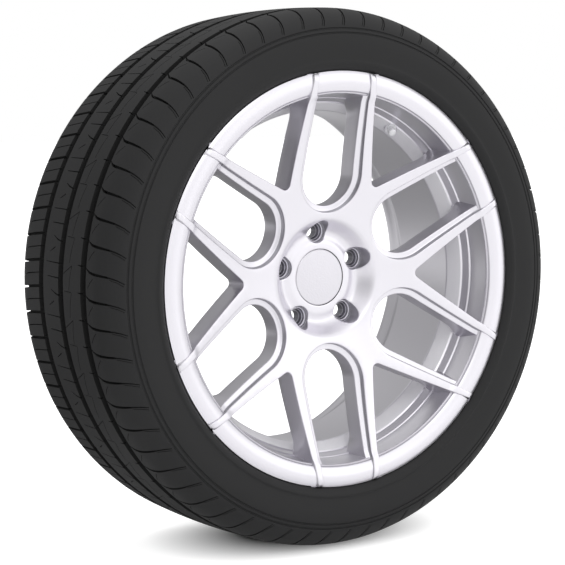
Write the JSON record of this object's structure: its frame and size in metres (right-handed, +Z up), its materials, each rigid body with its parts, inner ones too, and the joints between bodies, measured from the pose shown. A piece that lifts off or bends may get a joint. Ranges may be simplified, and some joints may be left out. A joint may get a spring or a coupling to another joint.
{
  "type": "car wheel and tyre",
  "caption": "Car wheel: a silver cast alloy wheel with slim Y-shaped spokes, a black low-profile tyre, a snap-in centre cap and a metal tyre valve.",
  "frame": {"origin": "centre of the hub mounting face, on the axle", "axes": "+Y along the axle toward the car, so the outer face looks toward -Y; +Z up from the ground"},
  "size_m": [0.6531, 0.2402, 0.6516],
  "materials": {
    "tyre_rubber": "matte",
    "painted_alloy": "satin",
    "cap_plastic": "satin",
    "spring_wire": "satin",
    "valve_metal": "polished",
    "brass": "satin",
    "seal_rubber": "matte",
    "gasket_red": "matte"
  },
  "bodies": {
    "wheel": {"alloy_wheel": "painted_alloy", "tyre": "tyre_rubber", "centre_cap": "cap_plastic", "cap_spring_ring": "spring_wire", "valve_stem": "valve_metal", "valve_seal": "seal_rubber", "valve_nut": "valve_metal", "core_housing": "brass", "core_gasket": "gasket_red", "core_spring": "spring_wire"},
    "valve_pin": {"core_pin": "brass", "core_seal": "seal_rubber"},
    "cap_washer": {"valve_cap_seal": "seal_rubber"},
    "dust_cap": {"valve_cap": "valve_metal"}
  },
  "joints": [
    {"name": "cap_lift", "type": "slide", "parent": "wheel", "child": "cap_washer", "axis": [-0.3125, -0.788, -0.5305], "range_m": [0, 0.00357]},
    {"name": "cap_unscrew", "type": "hinge", "parent": "cap_washer", "child": "dust_cap", "pos_m": [0.10537, -0.02842, 0.17887], "axis": [-0.3125, -0.788, -0.5305], "range_deg": [0, 1620]},
    {"name": "pin_press", "type": "slide", "parent": "wheel", "child": "valve_pin", "axis": [0.3125, 0.788, 0.5305], "range_m": [0, 0.001], "stiffness_N_per_m": 1500, "springref_m": -0.002, "deforming": ["core_spring"]}
  ],
  "couplings": [
    {"joint": "cap_unscrew", "follows": "cap_lift", "rad_per_m": 7916.2}
  ]
}
